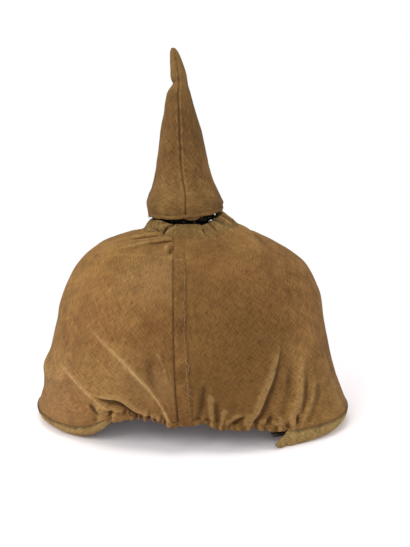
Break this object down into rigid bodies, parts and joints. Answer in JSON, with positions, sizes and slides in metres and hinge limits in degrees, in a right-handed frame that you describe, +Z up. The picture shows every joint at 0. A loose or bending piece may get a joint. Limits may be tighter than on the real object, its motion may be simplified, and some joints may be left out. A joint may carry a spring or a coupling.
{
  "type": "cloth-covered spiked helmet",
  "caption": "Spiked leather helmet in a khaki cotton field cover with side seams, a gathered neck, gathered ear hems, turned-under visor edges and a separate spike cover.",
  "frame": {"origin": "on the surface the helmet rests on, under the middle of its box", "axes": "+X to the front of the helmet, +Y to the wearer's left, +Z up along the spike"},
  "size_m": [0.2597, 0.19, 0.301],
  "materials": {
    "cover_cloth": "plain-woven khaki cotton, faded and lightly soiled",
    "band_cloth": "the same cotton, greener on its turned-under side",
    "leather": "black lacquered leather",
    "dark_metal": "blackened, slightly glossy"
  },
  "bodies": {
    "root": {"leather_skull": "leather", "front_visor": "leather", "rear_visor": "leather", "spike_base": "dark_metal", "pearl_ring": "dark_metal", "spike": "dark_metal", "cover_front_panel": "cover_cloth", "cover_rear_panel": "cover_cloth", "right_felled_seam": "cover_cloth", "left_felled_seam": "cover_cloth", "neck_casing": "cover_cloth", "front_visor_band": "band_cloth", "rear_visor_band": "band_cloth", "right_ear_hem": "cover_cloth", "left_ear_hem": "cover_cloth", "spike_cover": "cover_cloth", "spike_cover_hem": "cover_cloth"}
  },
  "joints": []
}
